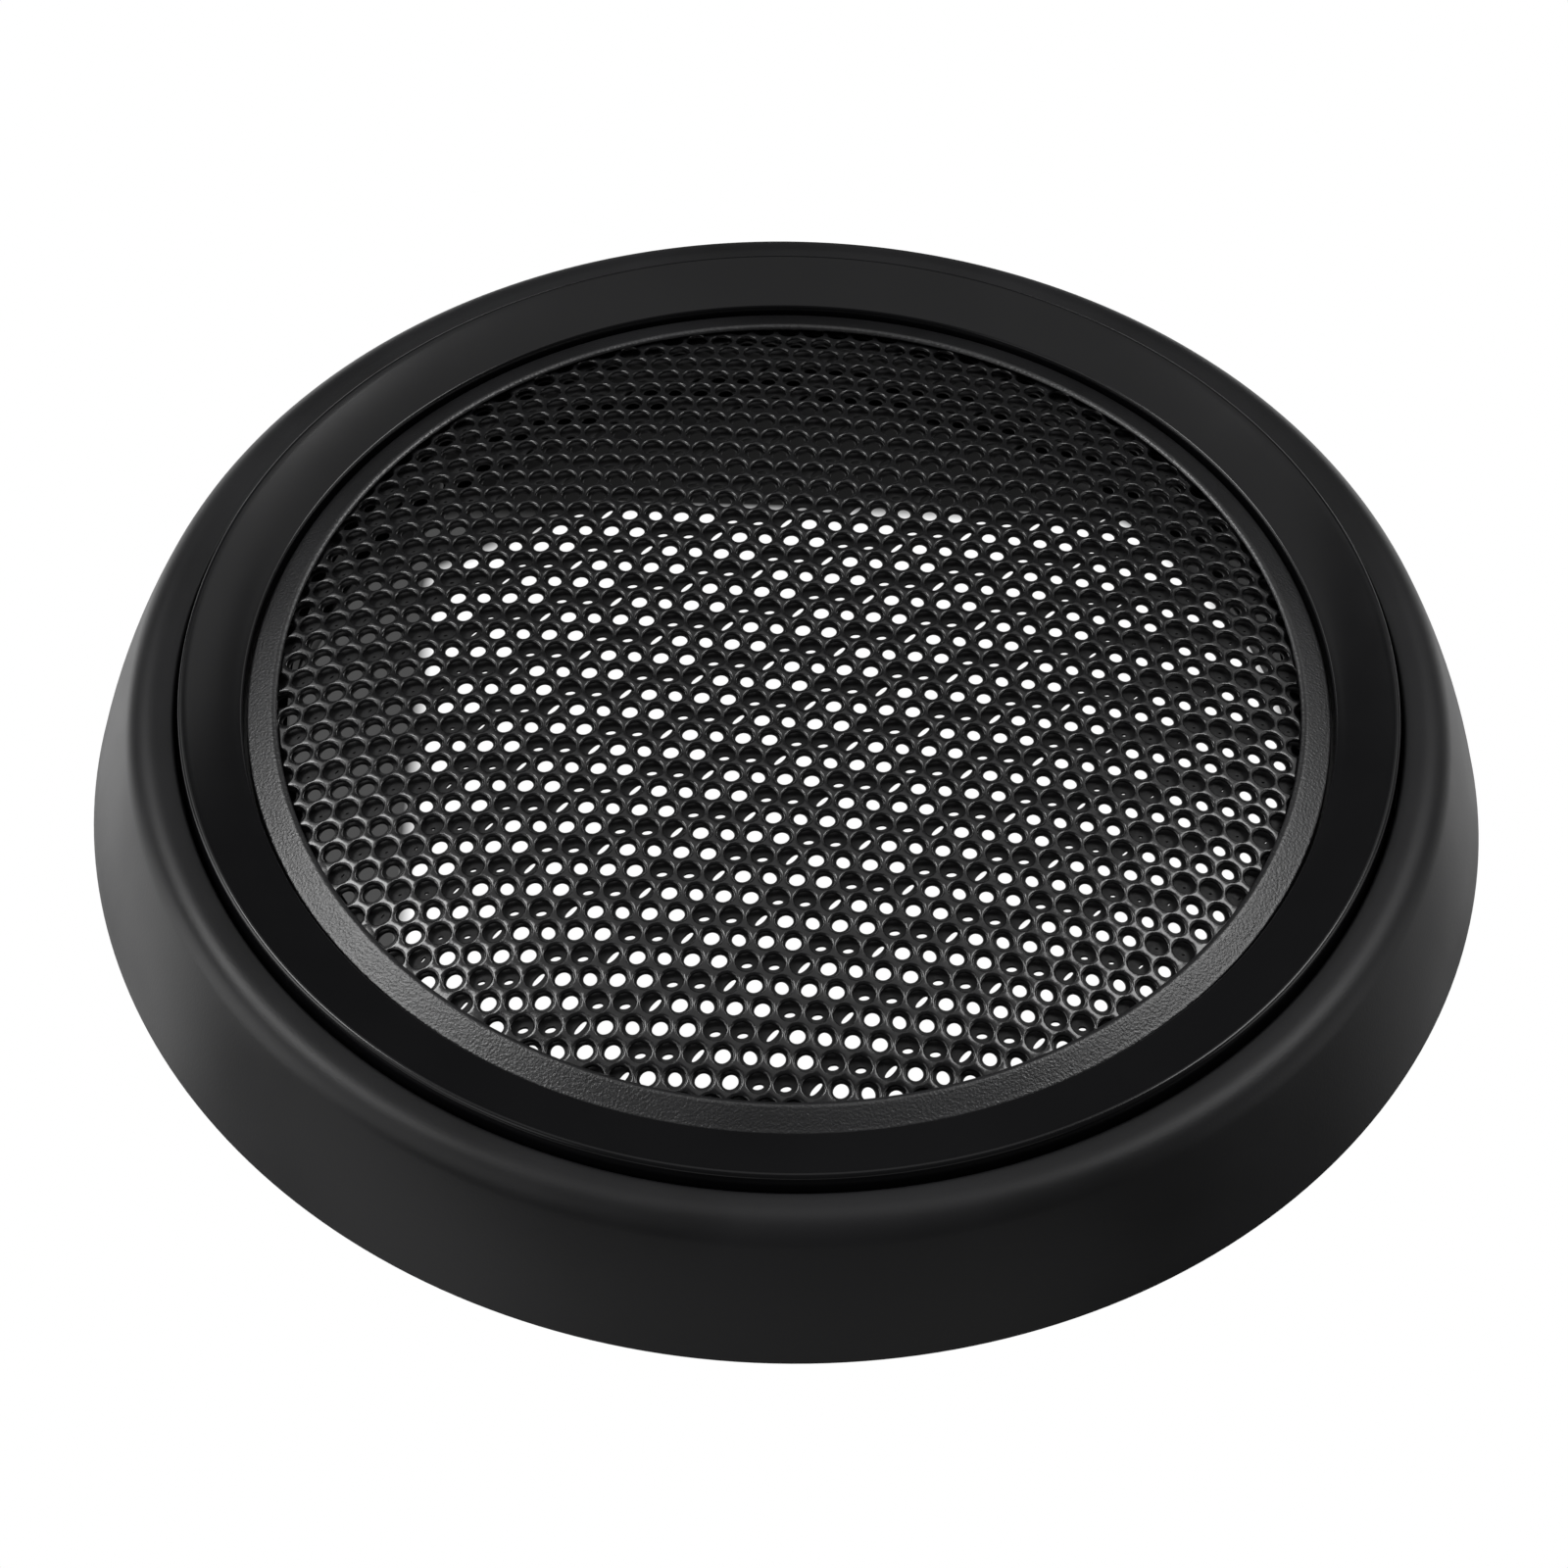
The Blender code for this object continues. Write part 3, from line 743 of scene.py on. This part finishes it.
# Soft lights: name, degrees round from the right toward the back, degrees up, width, strength
SOFT_LIGHTS = (
    ("right_high", 26.0, 55.0, 24.0, 0.45),
    ("left_high", 159.0, 53.0, 22.0, 0.60),
    ("top", 90.0, 70.0, 46.0, 0.13),
    ("left_low", 180.0, 8.0, 40.0, 0.55),
    ("right_low", 0.0, 8.0, 40.0, 0.20),
    ("left_front", 210.0, 35.0, 40.0, 0.20),
    ("right_back", 42.0, 38.0, 36.0, 0.12),
    ("left_back", 141.0, 38.0, 26.0, 0.12),
    ("bounce_back_right", 60.0, -25.0, 40.0, 0.29),
    ("bounce_back_left", 120.0, -25.0, 40.0, 0.30),
    ("bounce_left", 155.0, -25.0, 40.0, 0.36),
    ("bounce_right", 30.0, -25.0, 40.0, 0.13),
    ("bounce_front_left", 215.0, -25.0, 40.0, 0.17),
    ("bounce_front", 255.0, -25.0, 40.0, 0.09),
    ("bounce_front_right", 295.0, -25.0, 40.0, 0.08),
)
SKY_STRENGTH = 0.05


def edge_mask(nodes, links, value, limit, soft):
    """1 where the value is below the limit, 0 above, with a soft edge."""
    return ramp_node(nodes, links, value, 1.0, 0.0, (limit - soft) * MM, (limit + soft) * MM)


def straight_mask(nodes, links, place, direction, limit):
    """1 on the near side of a straight edge across the floor."""
    across = nodes.new("ShaderNodeVectorMath")
    across.operation = "DOT_PRODUCT"
    links.new(place, across.inputs[0])
    across.inputs[1].default_value = (*direction, 0.0)
    return edge_mask(nodes, links, across.outputs["Value"], limit, PAINTED_EDGE_SOFT)


def inside_edges(nodes, links, place, mask, edges):
    """The mask, cut back to the near side of every straight edge."""
    for direction, limit in edges:
        both = nodes.new("ShaderNodeMath")
        both.operation = "MULTIPLY"
        links.new(mask, both.inputs[0])
        links.new(straight_mask(nodes, links, place, direction, limit), both.inputs[1])
        mask = both.outputs["Value"]
    return mask


def floor_material():
    """White floor with a painted shadow under the cover and a painted pool of light where light falls
    through the mesh.
    """
    made, nodes, links, shader, place = new_material("floor_painted_light_and_shade_look")
    away = nodes.new("ShaderNodeVectorMath")
    away.operation = "LENGTH"
    links.new(place, away.inputs[0])
    # painted shadow, half shade and pool of light: masks that set how strongly the floor glows under the
    # cover
    under = edge_mask(nodes, links, away.outputs["Value"], PAINTED_SHADOW_RADIUS, PAINTED_SHADOW_SOFT)
    painted_light = edge_mask(nodes, links, away.outputs["Value"], PAINTED_LIGHT_RADIUS, PAINTED_EDGE_SOFT)
    painted_light = inside_edges(nodes, links, place, painted_light, PAINTED_LIGHT_EDGES)
    painted_half_shade = inside_edges(nodes, links, place, under, PAINTED_HALF_SHADE_EDGES)
    shaded = nodes.new("ShaderNodeMath")
    shaded.operation = "MAXIMUM"
    links.new(ramp_node(nodes, links, painted_half_shade, PAINTED_SHADOW_LEVEL, PAINTED_HALF_SHADE_LEVEL, 0.0, 1.0), shaded.inputs[0])
    links.new(painted_light, shaded.inputs[1])
    blend = nodes.new("ShaderNodeMix")
    blend.inputs["A"].default_value = 1.0
    links.new(under, blend.inputs["Factor"])
    links.new(shaded.outputs["Value"], blend.inputs["B"])
    grain = noise_node(nodes, links, place, scale=900.0, detail=3.0)
    links.new(ramp_node(nodes, links, grain, 0.85, 0.95), shader.inputs["Roughness"])
    shader.inputs["Base Color"].default_value = (0.0, 0.0, 0.0, 1.0)
    shader.inputs["Specular IOR Level"].default_value = 0.0
    shader.inputs["Emission Color"].default_value = (1.0, 1.0, 1.0, 1.0)
    links.new(blend.outputs["Result"], shader.inputs["Emission Strength"])
    return made


def make_floor():
    """Pale floor; its light on the object comes from the bounce lights instead."""
    bm = bmesh.new()
    bmesh.ops.create_circle(bm, cap_ends=True, segments=FLOOR_SIDES, radius=FLOOR_RADIUS * MM)
    floor = add_object("floor", bm, floor_material())
    floor.location.z = -FLOOR_GAP * MM
    floor.visible_diffuse = False
    floor.visible_glossy = False
    floor.visible_shadow = False


def make_lights():
    """A dim even sky and the soft lights, each a wide sun lamp."""
    world = bpy.data.worlds.new("studio")
    world.use_nodes = True
    sky = world.node_tree.nodes["Background"]
    sky.inputs["Color"].default_value = (1.0, 1.0, 1.0, 1.0)
    sky.inputs["Strength"].default_value = SKY_STRENGTH
    bpy.context.scene.world = world
    for name, azimuth, rise, width, strength in SOFT_LIGHTS:
        data = bpy.data.lights.new(name, "SUN")
        data.angle = math.radians(width)
        data.energy = strength
        lamp = bpy.data.objects.new(name, data)
        bpy.context.scene.collection.objects.link(lamp)
        turn, up = math.radians(azimuth), math.radians(rise)
        source = Vector((math.cos(turn) * math.cos(up), math.sin(turn) * math.cos(up), math.sin(up)))
        lamp.rotation_euler = (-source).to_track_quat("-Z", "Y").to_euler()
    bpy.context.scene.view_settings.view_transform = "Standard"


def make_camera():
    """The photograph's camera, which looks at the middle of the cover's foot."""
    data = bpy.data.cameras.new("photo_camera")
    data.lens = LENS
    data.sensor_width = SENSOR
    data.shift_x, data.shift_y = SHIFT
    data.clip_start = CAMERA_CLIP * MM
    camera = bpy.data.objects.new("photo_camera", data)
    bpy.context.scene.collection.objects.link(camera)
    rise = math.radians(CAMERA_RISE)
    roll = math.radians(CAMERA_ROLL)
    back = Vector((0.0, -math.cos(rise), math.sin(rise)))
    right = Vector((1.0, 0.0, 0.0))
    up = Vector((0.0, math.sin(rise), math.cos(rise)))
    turned_right = right * math.cos(roll) + up * math.sin(roll)
    turned_up = up * math.cos(roll) - right * math.sin(roll)
    axes = Matrix((turned_right, turned_up, back)).transposed()
    camera.matrix_world = Matrix.Translation(back * CAMERA_DISTANCE * MM) @ axes.to_4x4()
    bpy.context.scene.camera = camera


# ---------- assembly ----------

def stand_in(piece, node, body):
    """Let the piece ride on its body, in place of the CAD node."""
    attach(piece, body)
    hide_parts(node)


def main():
    trim = plastic("trim_plastic_look", dark=(0.018, 0.018, 0.019), light=(0.026, 0.026, 0.028),
                   rough=(0.36, 0.44), grain_scale=3200.0, grain_depth=0.012)
    satin = plastic("frame_plastic_look", dark=(0.007, 0.007, 0.008), light=(0.010, 0.010, 0.011),
                    rough=(0.15, 0.19), grain_scale=3600.0, grain_depth=0.002, specular=0.65)
    grained = plastic("bezel_plastic_look", dark=(0.014, 0.014, 0.015), light=(0.024, 0.024, 0.026),
                      rough=(0.29, 0.34), grain_scale=3400.0, grain_depth=0.06, specular=1.0, ior=1.6)
    backing = plastic("backing_plastic_look", dark=(0.014, 0.014, 0.014), light=(0.022, 0.022, 0.022),
                      rough=(0.5, 0.6), grain_scale=2200.0, grain_depth=0.02)
    front_steel = coated_metal("front_steel_look", dark=(0.008, 0.008, 0.009),
                               light=(0.014, 0.014, 0.015), rough=(0.16, 0.24), specular=0.65, ior=1.75)
    # painted light: the rear sheet gets a paler copy of the front sheet's steel colour, which brightens
    # what shows through the holes
    rear_steel = coated_metal("rear_steel_painted_light_look", dark=(0.022, 0.022, 0.023),
                              light=(0.030, 0.030, 0.031), rough=(0.5, 0.6), specular=0.5, ior=1.5)
    zinc = black_zinc("black_zinc_look", dark=(0.035, 0.035, 0.037), light=(0.09, 0.09, 0.095),
                      rough=(0.28, 0.45))
    stand_in(make_trim_ring(trim), "trim_ring", "base")
    stand_in(make_grille_frame(satin), "grille_frame", "grille")
    stand_in(make_mesh_bezel(grained), "mesh_bezel", "grille")
    stand_in(make_clamp_ring(backing), "clamp_ring", "grille")
    stand_in(make_front_sheet(front_steel), "front_mesh", "grille")
    stand_in(make_rear_sheet(rear_steel), "rear_mesh", "grille")
    for number, screw in enumerate(make_screws(zinc), start=1):
        stand_in(screw, f"clamp_screw_{number}", "grille")
    make_floor()
    make_lights()
    make_camera()


main()
